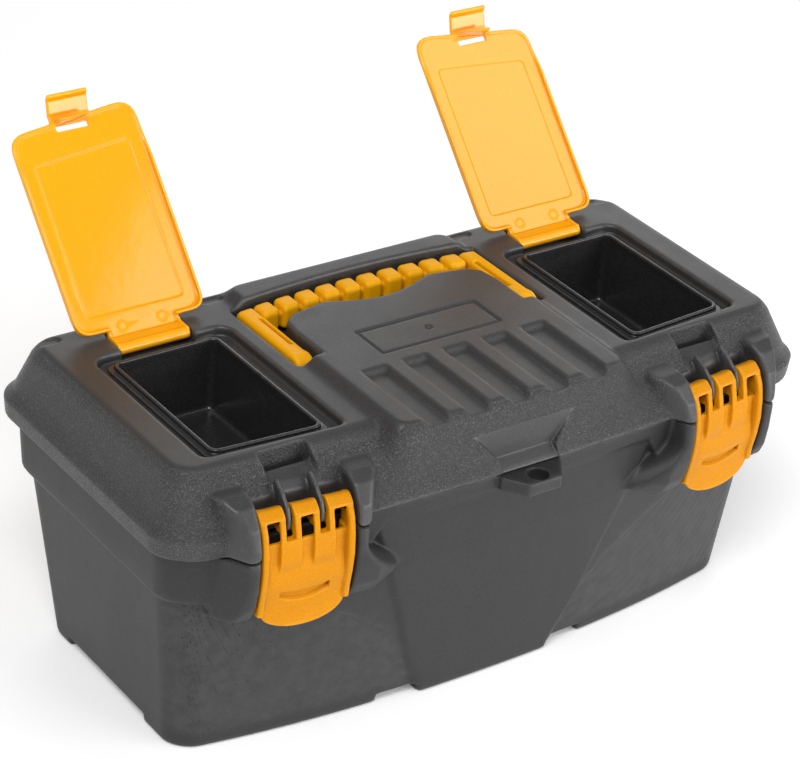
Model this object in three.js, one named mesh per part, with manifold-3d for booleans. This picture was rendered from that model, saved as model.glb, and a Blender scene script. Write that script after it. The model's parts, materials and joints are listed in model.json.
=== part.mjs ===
// Moulded plastic toolbox for hand tools, built in millimetres with +Z up.
// X runs along the length, the latches are on the -Y side, the lid hinges on
// the +Y side. The origin is the bottom centre of the whole part's bounding box.
import * as THREE from 'three';
import { mergeVertices } from 'three/addons/utils/BufferGeometryUtils.js';
import Module from 'manifold-3d';

const wasm = await Module();
wasm.setup();

// ---------------------------------------------------------------- dimensions
const GAP = 0.35;                 // air between pieces that touch in life
const WALL = 2.4;                 // moulded wall thickness
const ORIGIN_Y = 11.9795;         // design-frame Y of the bounding box centre
const SEAM_Z = 104;               // top of the base rim at the back and ends
const ARCH = { top: 113.9, drop: 10, span: 150, power: 3.2 }; // front rim rises towards the middle
const LID_Z0 = SEAM_Z + 0.4;      // underside of the lid skirt
const LID_TOP = 139;              // top face over the bins
const HOOD_TOP = 142.5;           // top face of the raised middle
const FOOT_H = 4.5;               // height of the feet under the floor
const FLOOR_Z = 7;                // inside floor of the box

// plan outlines, design frame: half length, back, front corner, front bow, radii
const BASE_BODY = [
  { z: 0, hx: 147.5, yb: 54, yf: -56.5, bow: 11, r: 12 },
  { z: 79, hx: 155, yb: 66.2, yf: -63.5, bow: 15, r: 14 },
  { z: SEAM_Z, hx: 156.6, yb: 68, yf: -65, bow: 15.5, r: 14 },
  { z: 118, hx: 157, yb: 68.4, yf: -67.2, bow: 15, r: 14 },
];
const BASE_BAND = [
  { z: 79, hx: 156.4, yb: 67.6, yf: -64.8, bow: 15.4, r: 14.5 },
  { z: 81.5, hx: 158.6, yb: 69.6, yf: -67, bow: 15.5, r: 15 },
  { z: SEAM_Z, hx: 159.6, yb: 70.6, yf: -68, bow: 15.5, r: 15 },
  { z: 118, hx: 159.6, yb: 70.6, yf: -70.4, bow: 14.6, r: 15 },
];
const BASE_CAVITY = [
  { z: FLOOR_Z, hx: 145.7, yb: 52.6, yf: -54.7, bow: 11.3, r: 10 },
  { z: 79, hx: 152.6, yb: 63.8, yf: -61.1, bow: 15, r: 11.6 },
  { z: 120, hx: 155, yb: 66.4, yf: -63.8, bow: 15.2, r: 11.6 },
];
const LID_OUTER = [
  { z: LID_Z0, hx: 161, yb: 72, yf: -69.5, bow: 15.8, r: 15 },
  { z: 107.2, hx: 164.6, yb: 75.2, yf: -73, bow: 13.8, r: 17 },
  { z: 114.8, hx: 165, yb: 75.6, yf: -73.5, bow: 12.9, r: 17 },
  { z: 118.4, hx: 161.6, yb: 72.4, yf: -70.6, bow: 12.6, r: 15 },
  { z: 134.4, hx: 155.6, yb: 67, yf: -61.4, bow: 5, r: 13 },
  { z: LID_TOP, hx: 152.4, yb: 64, yf: -57, bow: 1.6, r: 11 },
];
const LID_CAVITY = [
  { z: 102, hx: 158.2, yb: 69.2, yf: -66.6, bow: 13.6, r: 12.6 },
  { z: 116.6, hx: 158.4, yb: 69.4, yf: -67, bow: 12.8, r: 12.6 },
  { z: 132.6, hx: 152.8, yb: 64.4, yf: -58.6, bow: 5, r: 10.6 },
  { z: 136.4, hx: 149.8, yb: 61.6, yf: -54.6, bow: 1.6, r: 8.6 },
];
const HOOD_OUTER = [
  { z: 112, hx: 76, yb: 60, yf: -81.5, bow: 4, r: 16 },
  { z: 127, hx: 68, yb: 62, yf: -78.4, bow: 2.4, r: 13 },
  { z: 139.5, hx: 59.5, yb: 62.5, yf: -74.6, bow: 1, r: 8 },
  { z: HOOD_TOP, hx: 57.4, yb: 61, yf: -72, bow: 0.8, r: 6 },
];
const HOOD_CAVITY = [
  { z: 108, hx: 72, yb: 50, yf: -78.6, bow: 3.6, r: 14 },
  { z: 127, hx: 64.6, yb: 50, yf: -75.4, bow: 2.2, r: 10.6 },
  { z: 136.4, hx: 58.4, yb: 50, yf: -72.2, bow: 1, r: 8 },
];

// rear hinge between base and lid
const HINGE = { y: 76.6, z: 102, r: 4.5, pinR: 2, boreR: 2.35, x: 90, half: 24, lidHalf: 8 };
// folding carrying handle
const HANDLE = { y: 0.5, z: 134, r: 5.6, outX: 63, inX: 54.6, backY: 45.5, crown: 4, gripD: 10.5,
  top: 139.8, bottom: 128.4, pitch: 11, block: 8.6, blocks: 10, pinR: 2, boreR: 2.35 };
// front latches, each in its own frame turned to follow the bowed front
const LATCH = { x: 108, y: -78.4, turn: 5.5, half: 20.8, pinY: 1, pinZ: 119.6, pinR: 1.8, boreR: 2.15,
  knuckleR: 5, gapX: 7.5, gapW: 3.8, ribT: 1.8, bay: 21.5 };
// bins in the lid and their flip lids
const BIN = { in: 80.4, out: 131, back: 32.8, frontIn: -50, frontOut: -46.5, top: 138, bottom: 103.4, t: 1.5 };
const RECESS = { in: 72.5, out: 137.5, back: 38.2, frontIn: -54, frontOut: -49.8, z: 134.6 };
const FLAP = { in: 74.2, out: 136.2, back: 34.6, edgeIn: -62.6, edgeOut: -56, frontIn: -53, frontOut: -48.8, z0: 139.25, z1: 140.95,
  hingeY: 43.6, hingeZ: 136.4, r: 2.5, pinR: 1.2, boreR: 1.55, tongueIn: 87.6, tongueOut: 122, open: 133, tabIn: 95.6, tabOut: 115.2 };
const NOTCH = { in: 94.2, out: 116.6 };

// ------------------------------------------------------------------- helpers
const rad = (d) => (d * Math.PI) / 180;

function toManifold(geo) {
  const g0 = geo.index ? geo.toNonIndexed() : geo.clone();
  for (const k of Object.keys(g0.attributes)) if (k !== 'position') g0.deleteAttribute(k);
  const g = mergeVertices(g0, 1e-4);
  const idx = [];
  const a = g.index.array;
  for (let i = 0; i < a.length; i += 3) {
    if (a[i] !== a[i + 1] && a[i + 1] !== a[i + 2] && a[i] !== a[i + 2]) idx.push(a[i], a[i + 1], a[i + 2]);
  }
  return new wasm.Manifold(new wasm.Mesh({
    numProp: 3,
    vertProperties: new Float32Array(g.attributes.position.array),
    triVerts: new Uint32Array(idx),
  }));
}
function toGeometry(m) {
  const mesh = m.getMesh();
  const g = new THREE.BufferGeometry();
  g.setAttribute('position', new THREE.BufferAttribute(new Float32Array(mesh.vertProperties), 3));
  g.setIndex(Array.from(mesh.triVerts));
  const flat = g.toNonIndexed();
  flat.computeVertexNormals();
  return flat;
}
const join = (list) => list.reduce((a, b) => a.add(b));
const shapeOf = (pts) => new THREE.Shape(pts.map((p) => new THREE.Vector2(p[0], p[1])));
const ccw = (pts) => {
  let s = 0;
  for (let i = 0; i < pts.length; i++) {
    const p = pts[i], q = pts[(i + 1) % pts.length];
    s += p[0] * q[1] - q[0] * p[1];
  }
  return s < 0 ? pts.slice().reverse() : pts;
};
function box(x0, x1, y0, y1, z0, z1) {
  const g = new THREE.BoxGeometry(x1 - x0, y1 - y0, z1 - z0);
  g.translate((x0 + x1) / 2, (y0 + y1) / 2, (z0 + z1) / 2);
  return toManifold(g);
}
function extrude(pts, depth) {
  return new THREE.ExtrudeGeometry(shapeOf(ccw(pts)), { depth, bevelEnabled: false, steps: 1, curveSegments: 8 });
}
// outline in X,Y pushed up Z
function prismZ(pts, z0, z1) {
  const g = extrude(pts, z1 - z0);
  g.translate(0, 0, z0);
  return toManifold(g);
}
// outline in Y,Z pushed along X
function prismX(pts, x0, x1) {
  const g = extrude(pts, x1 - x0);
  g.applyMatrix4(new THREE.Matrix4().set(0, 0, 1, x0, 1, 0, 0, 0, 0, 1, 0, 0, 0, 0, 0, 1));
  return toManifold(g);
}
// outline in X,Z pushed along Y
function prismY(pts, y0, y1) {
  const g = extrude(pts, y1 - y0);
  g.applyMatrix4(new THREE.Matrix4().set(1, 0, 0, 0, 0, 0, -1, y1, 0, 1, 0, 0, 0, 0, 0, 1));
  return toManifold(g);
}
function rodX(r, x0, x1, y, z, seg = 20) {
  const g = new THREE.CylinderGeometry(r, r, x1 - x0, seg);
  g.rotateZ(Math.PI / 2);
  g.translate((x0 + x1) / 2, y, z);
  return toManifold(g);
}
function rodZ(r, x, y, z0, z1, seg = 20) {
  const g = new THREE.CylinderGeometry(r, r, z1 - z0, seg);
  g.rotateX(Math.PI / 2);
  g.translate(x, y, (z0 + z1) / 2);
  return toManifold(g);
}
// closed outline of a box in plan: straight back, bowed front, round corners
function plan({ hx, yb, yf, bow, r }) {
  const pts = [];
  const arc = (cx, cy, a0, n = 5) => {
    for (let i = 0; i <= n; i++) {
      const a = rad(a0 + (90 * i) / n);
      pts.push([cx + r * Math.cos(a), cy + r * Math.sin(a)]);
    }
  };
  arc(hx - r, yb - r, 0);
  arc(-hx + r, yb - r, 90);
  arc(-hx + r, yf + r, 180);
  const span = hx - r;
  const n = 12;
  for (let i = 1; i < n; i++) {
    const x = -span + (2 * span * i) / n;
    pts.push([x, yf - bow * (1 - Math.pow(Math.abs(x) / span, 2.3))]);
  }
  arc(hx - r, yf + r, 270);
  return pts;
}
// solid through a stack of outlines with the same number of points
function stack(outlines, zs) {
  const n = outlines.length;
  const ref = outlines[0];
  const g = new THREE.ExtrudeGeometry(shapeOf(ref), { depth: n - 1, steps: n - 1, bevelEnabled: false });
  const key = (x, y) => `${x.toFixed(3)},${y.toFixed(3)}`;
  const at = new Map(ref.map((p, i) => [key(p[0], p[1]), i]));
  const pos = g.attributes.position;
  for (let i = 0; i < pos.count; i++) {
    const k = Math.round(pos.getZ(i));
    const j = at.get(key(pos.getX(i), pos.getY(i)));
    pos.setXYZ(i, outlines[k][j][0], outlines[k][j][1], zs[k]);
  }
  return toManifold(g);
}
const loft = (levels) => stack(levels.map(plan), levels.map((l) => l.z));
const mirrorPts = (pts, s) => (s > 0 ? pts : pts.map((p) => [-p[0], p[1]]).reverse());
const spanX = (s, a, b) => (s > 0 ? [a, b] : [-b, -a]);
function quad(xi, xo, yb, yfi, yfo, s) {
  return mirrorPts([[xi, yb], [xi, yfi], [xo, yfo], [xo, yb]], s);
}
// outline with every corner rounded
function rounded(pts, r, n = 4) {
  const out = [];
  pts.forEach((p, i) => {
    const a = pts[(i + pts.length - 1) % pts.length], b = pts[(i + 1) % pts.length];
    const la = Math.hypot(a[0] - p[0], a[1] - p[1]), lb = Math.hypot(b[0] - p[0], b[1] - p[1]);
    const u = [(a[0] - p[0]) / la, (a[1] - p[1]) / la], v = [(b[0] - p[0]) / lb, (b[1] - p[1]) / lb];
    for (let k = 0; k <= n; k++) {
      const t = k / n, w0 = (1 - t) ** 2, w1 = 2 * t * (1 - t), w2 = t * t;
      out.push([0, 1].map((c) => w0 * (p[c] + u[c] * r) + w1 * p[c] + w2 * (p[c] + v[c] * r)));
    }
  });
  return out;
}
// height of the seam over the front, and the areas above and below it in X,Z
const seamAt = (x) => Math.max(SEAM_Z, ARCH.top - ARCH.drop * Math.pow(Math.abs(x) / ARCH.span, ARCH.power));
function seamLine(up) {
  const line = [];
  for (let i = 0; i <= 36; i++) { const x = -162 + 9 * i; line.push([x, seamAt(x) + up]); }
  return line;
}
const aboveSeam = () => prismY([[-175, SEAM_Z], ...seamLine(0), [175, SEAM_Z], [175, 150], [-175, 150]], -130, -40);
const belowSeam = () => prismY([[-175, LID_Z0], ...seamLine(LID_Z0 - SEAM_Z), [175, LID_Z0], [175, 90], [-175, 90]], -130, -40);
// put a solid drawn in a latch's own frame onto the box
function placeLatch(m, s) {
  return m.rotate([0, 0, s * LATCH.turn]).translate([s * LATCH.x, LATCH.y, 0]);
}

// plan of the cheeks beside a latch: narrow nose, outer side angled back
const hornPlan = (t) => prismZ(mirrorPts([[LATCH.bay, -14], [26.4, -14], [26.4, -9.6], [32.4, 1], [35.6, 7], [35.6, 24], [LATCH.bay, 24]], t), 60, 140);

// ---------------------------------------------------------------- base shell
function baseShell() {
  let body = loft(BASE_BODY);
  const band = loft(BASE_BAND).subtract(
    prismY([[-96, 60], [96, 60], [84, 80], [69, 105.6], [-69, 105.6], [-84, 80]], -120, -30));
  const proud = BASE_BODY.map((l) => ({ ...l, hx: l.hx + 0.01, yf: l.yf - 1.3, r: l.r }));
  const panel = loft(proud).intersect(prismY([[-33, -1], [33, -1], [67, 106], [-67, 106]], -120, -40));
  body = join([body, band, panel]);
  for (const s of [-1, 1]) {
    for (const t of [-1, 1]) {
      const horn = prismX([[14, 118], [-9.4, 118], [-9.4, 104], [-8.8, 94], [-6.6, 83], [-2, 77], [14, 75]], -40, 40).intersect(hornPlan(t));
      body = body.add(placeLatch(horn, s));
    }
  }
  // padlock eye on the middle of the front rim
  const tab = prismZ([[-15.6, -80], [-15.6, -86.4], [-8.2, -96.6], [8.2, -96.6], [15.6, -86.4], [15.6, -80]], 107.1, 113.6);
  body = body.add(tab);
  // rear hinge knuckles, two each side
  for (const s of [-1, 1]) {
    for (const [a, b] of [[-HINGE.half, -HINGE.lidHalf - GAP], [HINGE.lidHalf + GAP, HINGE.half]]) {
      const x0 = s * HINGE.x + a, x1 = s * HINGE.x + b;
      body = body.add(rodX(HINGE.r, x0, x1, HINGE.y, HINGE.z));
      body = body.add(prismX([[67, 92], [69.5, 92], [HINGE.y + 2, 98.2], [HINGE.y, 101], [67, 101]], x0, x1));
    }
  }
  // inside, latch clearances, bores
  body = body.subtract(loft(BASE_CAVITY));
  for (const s of [-1, 1]) {
    body = body.subtract(placeLatch(box(-LATCH.bay, LATCH.bay, -30, 5.6, 60, 120), s));
    body = body.subtract(rodX(HINGE.r + 0.6, s * HINGE.x - HINGE.lidHalf - GAP, s * HINGE.x + HINGE.lidHalf + GAP, HINGE.y, HINGE.z));
    body = body.subtract(rodX(HINGE.boreR, s * HINGE.x - HINGE.half - 1, s * HINGE.x + HINGE.half + 1, HINGE.y, HINGE.z));
  }
  body = body.subtract(rodZ(4.4, 0, -90.8, 100, 120, 24));
  body = body.subtract(aboveSeam().add(box(-175, 175, -41, 100, SEAM_Z, 130)));
  // feet: everything between them is lifted
  const cuts = [
    box(-134, 134, -44, 41, -1, FOOT_H),
    box(-160, -120, -28, 34, -1, FOOT_H), box(120, 160, -28, 34, -1, FOOT_H),
    box(-54.4, -34.5, -80, -40, -1, FOOT_H), box(34.5, 54.4, -80, -40, -1, FOOT_H),
    box(-56, 56, 40, 60, -1, FOOT_H),
  ];
  return body.subtract(join(cuts));
}

// ----------------------------------------------------------------- lid shell
function handlePocket() {
  const back = [];
  for (let i = 0; i <= 8; i++) {
    const x = 64.4 - (128.8 * i) / 8;
    back.push([x, 47 + 4.4 * (1 - (x / 64.4) ** 2)]);
  }
  const outer = [[-64.4, -6.4], [64.4, -6.4], ...back];
  const arc = [];
  for (let i = 0; i <= 8; i++) {
    const x = 27 - (54 * i) / 8;
    arc.push([x, 23.6 + 7.6 * (Math.abs(x) / 27) ** 1.7]);
  }
  const island = [[-52.9, -9], [52.9, -9], [52.9, 14], [51, 23], [46.5, 27.4], ...arc, [-46.5, 27.4], [-51, 23], [-52.9, 14]];
  return prismZ(outer, 126.2, 150).subtract(prismZ(island, 125, 151));
}
function lidShell() {
  let outer = join([loft(LID_OUTER), loft(HOOD_OUTER)]);
  for (const s of [-1, 1]) {
    for (const t of [-1, 1]) {
      const horn = prismX([[16, 131.4], [4, 131.4], [-1.4, 129], [-7, 121.5], [-9.3, 113], [-9.6, LID_Z0], [16, LID_Z0]], -40, 40).intersect(hornPlan(t));
      outer = outer.add(placeLatch(horn, s));
    }
  }
  // hinge knuckle each side
  for (const s of [-1, 1]) {
    const x0 = s * HINGE.x - HINGE.lidHalf, x1 = s * HINGE.x + HINGE.lidHalf;
    outer = outer.add(rodX(HINGE.r, x0, x1, HINGE.y, HINGE.z));
    outer = outer.add(prismX([[72, 106], [HINGE.y - 2, 103.2], [HINGE.y + 4.2, 103.2], [HINGE.y + 1.6, 110], [72, 113]], x0, x1));
  }
  // inside space, less the blocks that carry the pocket, bins, notches and latches
  let inside = join([loft(LID_CAVITY), loft(HOOD_CAVITY)]);
  const blocks = [box(-67, 67, -9.6, 54.5, 123.8, 150), box(-28.5, 28.5, -95, -73, 100, 137)];
  for (const s of [-1, 1]) {
    const [ri, ro] = spanX(s, RECESS.in - 2.4, RECESS.out + 2.4);
    blocks.push(prismX([[-56.4, 132.2], [40, 132.2], [42, 129.4], [50, 129.4], [57, 135], [57, 150], [-56.4, 150]], ri, ro));
    const [ni, no] = spanX(s, NOTCH.in - 2.2, NOTCH.out + 2.2);
    blocks.push(prismX([[-52, 140], [-52, 124.6], [-61.6, 124.6], [-62.4, 129.6], [-84, 121], [-84, 140]], ni, no));
    blocks.push(placeLatch(box(-LATCH.bay - 2.2, LATCH.bay + 2.2, -30, 10.4, 100, 130.6), s));
  }
  let lid = outer.subtract(inside.subtract(join(blocks)));
  // handle pocket
  lid = lid.subtract(handlePocket());
  // grip flutes on the hood
  for (let k = -2; k <= 2; k++) {
    const x = k * 20.5;
    lid = lid.subtract(prismX([[-27.5, 143.5], [-31, 139.9], [-90, 139.9], [-90, 143.5]], x - 6, x + 6));
  }
  // name-plate groove, left blank
  const plate = box(-31.2, 31.2, -19.6, 1.6, 141.9, 144).subtract(box(-30, 30, -18.4, 0.4, 141, 145));
  lid = lid.subtract(plate);
  // padlock pocket
  const wedge = prismX([[-78.3, 134], [-79.8, 119], [-87, 114], [-110, 114], [-110, 134]], -30, 30)
    .intersect(prismY([[-25.5, 131.5], [25.5, 131.5], [14.4, 119.4], [14.4, 104], [-14.4, 104], [-14.4, 119.4]], -120, -60));
  lid = lid.subtract(wedge);
  const cuts = [];
  for (const s of [-1, 1]) {
    const [ri, ro] = spanX(s, RECESS.in, RECESS.out);
    cuts.push(prismZ(rounded(quad(RECESS.in, RECESS.out, RECESS.back, RECESS.frontIn, RECESS.frontOut, s), 6), RECESS.z, 150));
    // opening the bin hangs in
    cuts.push(prismZ(quad(BIN.in - 0.6, BIN.out + 0.6, BIN.back + 0.6, BIN.frontIn - 0.6, BIN.frontOut - 0.6, s), 120, 150));
    // flip-lid hinge: knuckle clearance and pin bore
    const [ti, to] = spanX(s, FLAP.tongueIn - 0.4, FLAP.tongueOut + 0.4);
    cuts.push(prismX([[36, 133.4], [46.4, 131.6], [48.4, 132.6], [54.4, 139], [54.4, 150], [36, 150]], ti, to));
    const [pi, po] = spanX(s, FLAP.tongueIn - 4.4, FLAP.tongueOut + 4.4);
    cuts.push(rodX(FLAP.boreR, pi, po, FLAP.hingeY, FLAP.hingeZ, 14));
    // clip notch: slot behind, slope in front
    const [ni, no] = spanX(s, NOTCH.in, NOTCH.out);
    cuts.push(prismX([[-56.2, 150], [-56.2, 127], [-59.6, 127], [-60.4, 132.2], [-84, 123.4], [-84, 150]], ni, no));
    // shallow pads behind the flip lid
    for (const px of [66.4, 146]) {
      const [a, b] = spanX(s, px - 4.6, px + 4.6);
      cuts.push(box(a, b, 57.6, 61.4, 138.2, 150));
    }
    // latch pocket
    cuts.push(placeLatch(box(-LATCH.bay, LATCH.bay, -40, 8, 90, 127.6), s));
  }
  cuts.push(belowSeam());
  lid = lid.subtract(join(cuts));
  for (const s of [-1, 1]) {
    // ribs between the latch fingers carry the latch pin
    for (const t of [-1, 1]) {
      const rib = prismX([[10.2, 133], [4, 129.8], [-1.4, 125.2], [-3.4, 120.6], [-3.4, 116.6], [0, 113.6], [10.2, 111.6]],
        t * LATCH.gapX - LATCH.ribT / 2, t * LATCH.gapX + LATCH.ribT / 2);
      lid = lid.add(placeLatch(rib, s));
    }
    lid = lid.subtract(placeLatch(rodX(LATCH.boreR, -30, 30, LATCH.pinY, LATCH.pinZ, 16), s));
    // room for the base knuckles, then the hinge bore
    for (const [a, b] of [[-HINGE.half - GAP, -HINGE.lidHalf], [HINGE.lidHalf, HINGE.half + GAP]]) {
      lid = lid.subtract(rodX(HINGE.r + 0.6, s * HINGE.x + a, s * HINGE.x + b, HINGE.y, HINGE.z));
    }
    lid = lid.subtract(rodX(HINGE.boreR, s * HINGE.x - HINGE.half, s * HINGE.x + HINGE.half, HINGE.y, HINGE.z));
    // handle pin bores
    const [a, b] = spanX(s, 50, 66.6);
    lid = lid.subtract(rodX(HANDLE.boreR, a, b, HANDLE.y, HANDLE.z, 16));
  }
  return lid;
}

// -------------------------------------------------------------------- handle
function handle() {
  const H = HANDLE;
  const crown = (x) => H.backY + H.crown * (1 - (x / H.outX) ** 2);
  const parts = [];
  for (const s of [-1, 1]) {
    const [a, b] = spanX(s, H.inX, H.outX);
    const arm = prismX([[H.y, H.bottom], [crown(H.outX) - 0.4, H.bottom], [crown(H.outX), H.bottom + 1.5], [crown(H.outX), H.top - 2], [crown(H.outX) - 2, H.top], [H.y, H.top - 0.2]], a, b);
    parts.push(arm, rodX(H.r, a, b, H.y, H.z, 24));
  }
  // grip core with the row of finger blocks on it
  const core = [];
  for (let i = 0; i <= 10; i++) {
    const x = H.inX + 1 - ((2 * H.inX + 2) * i) / 10;
    core.push([x, crown(x) - 2.2]);
  }
  for (let i = 10; i >= 0; i--) {
    const x = H.inX + 1 - ((2 * H.inX + 2) * i) / 10;
    core.push([x, crown(x) - H.gripD + 2.2]);
  }
  parts.push(prismZ(core, H.bottom + 1, H.top - 3));
  for (let k = 0; k < H.blocks; k++) {
    const x = (k - (H.blocks - 1) / 2) * H.pitch;
    const y1 = crown(x), y0 = y1 - H.gripD;
    const blk = prismX([[y0 + 1.6, H.bottom], [y1 - 1.6, H.bottom], [y1, H.bottom + 1.6], [y1, H.top - 2.2], [y1 - 2.2, H.top], [y0 + 2.2, H.top], [y0, H.top - 2.2], [y0, H.bottom + 1.6]],
      x - H.block / 2, x + H.block / 2);
    parts.push(blk);
  }
  let h = join(parts);
  for (const s of [-1, 1]) {
    // long slot between the wide outer rib and the thin inner rib
    const [a, b] = spanX(s, H.inX + 1.8, H.inX + 3.2);
    h = h.subtract(box(a, b, 10, 34.5, 132, 145));
    const [p, q] = spanX(s, 50, 66);
    h = h.subtract(rodX(H.boreR, p, q, H.y, H.z, 16));
  }
  return h;
}

// --------------------------------------------------------------------- latch
function latch() {
  const L = LATCH;
  const py = L.pinY, pz = L.pinZ;
  const front = [[-0.6, 125.2], [-3.4, 122.4], [-5.4, 116.6], [-6.8, 109.4], [-7.2, 101], [-6.4, 92.8], [-4.8, 84.6], [-4.4, 79], [-5.6, 71.6]];
  const backs = [[-3.6, 71.2], [-2.2, 79], [-2.6, 84.6], [-4.2, 92.8], [-4.9, 101], [-4.5, 109.4], [-3, 114.7], [1, 114.6], [3, 117.1], [3, 124], [1, 125.4]];
  const skin = prismX([...front, ...backs], -L.half, L.half);
  let m = skin.add(rodX(L.knuckleR, -L.half, L.half, py, pz, 24));
  // stiff edges that run down both sides
  for (const s of [-1, 1]) {
    const [a, b] = spanX(s, L.half - 3.4, L.half);
    m = m.add(prismX([[-6.8, 117], [-8.2, 109.4], [-8.6, 101], [-7.8, 92.8], [-6.2, 84.6], [-5.6, 78.6], [1.6, 78.6], [2.6, 92.8], [2.6, 111], [1, 117]], a, b));
  }
  // round lower lip: trim the corners below the stiff edges
  const trim = (s) => {
    const pts = [];
    for (let i = 0; i <= 8; i++) {
      pts.push([s * (18.4 * Math.cos(rad(90 * i / 8))), 78.6 - 7.4 * Math.sin(rad(90 * i / 8))]);
    }
    return prismY([[s * 30, 78.6], ...pts, [0, 60], [s * 30, 60]], -20, 10);
  };
  m = m.subtract(trim(-1)).subtract(trim(1));
  // gaps between the three fingers, and a window in each finger
  for (const s of [-1, 1]) m = m.subtract(box(s * L.gapX - L.gapW / 2, s * L.gapX + L.gapW / 2, -12, 10, 112.6, 130));
  for (const x of [-14.9, 0, 14.9]) m = m.subtract(box(x - 2.8, x + 2.8, -12, -3.4, 112.4, 121.4));
  // curved slot low on the face
  const smile = [];
  for (let i = 0; i <= 8; i++) { const x = -12 + 3 * i; smile.push([x, 87.6 - 2.4 * (1 - (x / 12) ** 2)]); }
  for (let i = 8; i >= 0; i--) { const x = -12 + 3 * i; smile.push([x, 86.8 - 5.4 * (1 - (x / 12) ** 2)]); }
  m = m.subtract(prismY(smile, -12, -5.2));
  return m.subtract(rodX(L.boreR, -30, 30, py, pz, 16)).translate([0, -py, -pz]);
}

// --------------------------------------------------------------- bin and flap
function bin(s) {
  const B = BIN;
  const top = (o) => quad(B.in + o, B.out - o, B.back - o, B.frontIn + o, B.frontOut + o, s);
  const outer = stack([top(3.2), top(1.2), top(0)], [B.bottom, B.bottom + 1.6, B.top]);
  const flange = prismZ(quad(B.in - 2.6, B.out + 2.6, B.back + 2.6, B.frontIn - 2.6, B.frontOut - 2.6, s), RECESS.z + GAP, RECESS.z + GAP + 1.2);
  const inner = stack([top(3.2 + B.t), top(1.2 + B.t), top(1.4), top(1.2)], [B.bottom + B.t, B.bottom + B.t + 1.6, B.top - 1, B.top + 2]);
  return outer.add(flange).subtract(inner);
}
function flap(s) {
  const F = FLAP;
  const ring = (o, r, yi, yo) => rounded(quad(F.in + o, F.out - o, F.back - o, yi + o, yo + o, s), r);
  const edge = (o, r) => ring(o, r, F.edgeIn, F.edgeOut);
  const fit = (o, r) => ring(o, r, F.frontIn, F.frontOut);
  const [ti, to] = spanX(s, F.tongueIn, F.tongueOut);
  const [ki, ko] = spanX(s, F.tabIn, F.tabOut);
  const [wi, wo] = spanX(s, F.tabIn + 2.2, F.tabOut - 2.2);
  let m = join([
    prismZ(edge(0, 9), F.z0, F.z1),
    prismZ(fit(0, 7), F.z0 - 1.8, F.z1).subtract(prismZ(fit(1.3, 6), F.z0 - 4, F.z1 - 0.3)),
    prismZ(fit(7.4, 3), F.z0, F.z1 + 0.9),
    prismX([[30, F.z0], [37.4, F.z0], [F.hingeY - 1.6, F.hingeZ - 1.7], [F.hingeY + 1.8, F.hingeZ + 1.6], [F.hingeY, F.z1 - 1.6], [39, F.z1], [30, F.z1]], ti, to),
    rodX(F.r, ti, to, F.hingeY, F.hingeZ, 20),
    prismX([[-53, F.z0], [-53, F.z1], [-62, F.z1], [-68.6, 137], [-69.8, 134.2], [-68, 134.2], [-67, 136.2], [-61, F.z0]], ki, ko),
    prismX([[-57, F.z0 + 0.5], [-57, 134], [-57.8, 133], [-58.8, 134.2], [-58.5, F.z0 + 0.5]], wi, wo),
  ]);
  m = m.subtract(prismZ(fit(8.6, 2.4), F.z0 - 1, F.z0 + 0.9));
  m = m.subtract(box(wi, wo, -56.6, -54.2, 130, 150));
  m = m.subtract(rodX(F.boreR, ti - 1, to + 1, F.hingeY, F.hingeZ, 14));
  return m.translate([0, -F.hingeY, -F.hingeZ]);
}

// ----------------------------------------------------------------- materials
const mat = (name, color, roughness, metalness = 0) =>
  new THREE.MeshStandardMaterial({ name, color, roughness, metalness });

const group = new THREE.Group();
group.name = 'toolbox';
const frame = new THREE.Group();
frame.name = 'design_frame';
frame.position.set(0, -ORIGIN_Y, 0);
group.add(frame);

function add(name, m, material, pos = [0, 0, 0], rot = [0, 0, 0]) {
  const mesh = new THREE.Mesh(toGeometry(m), material);
  mesh.name = name;
  mesh.position.set(...pos);
  mesh.rotation.set(...rot);
  frame.add(mesh);
}

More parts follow.
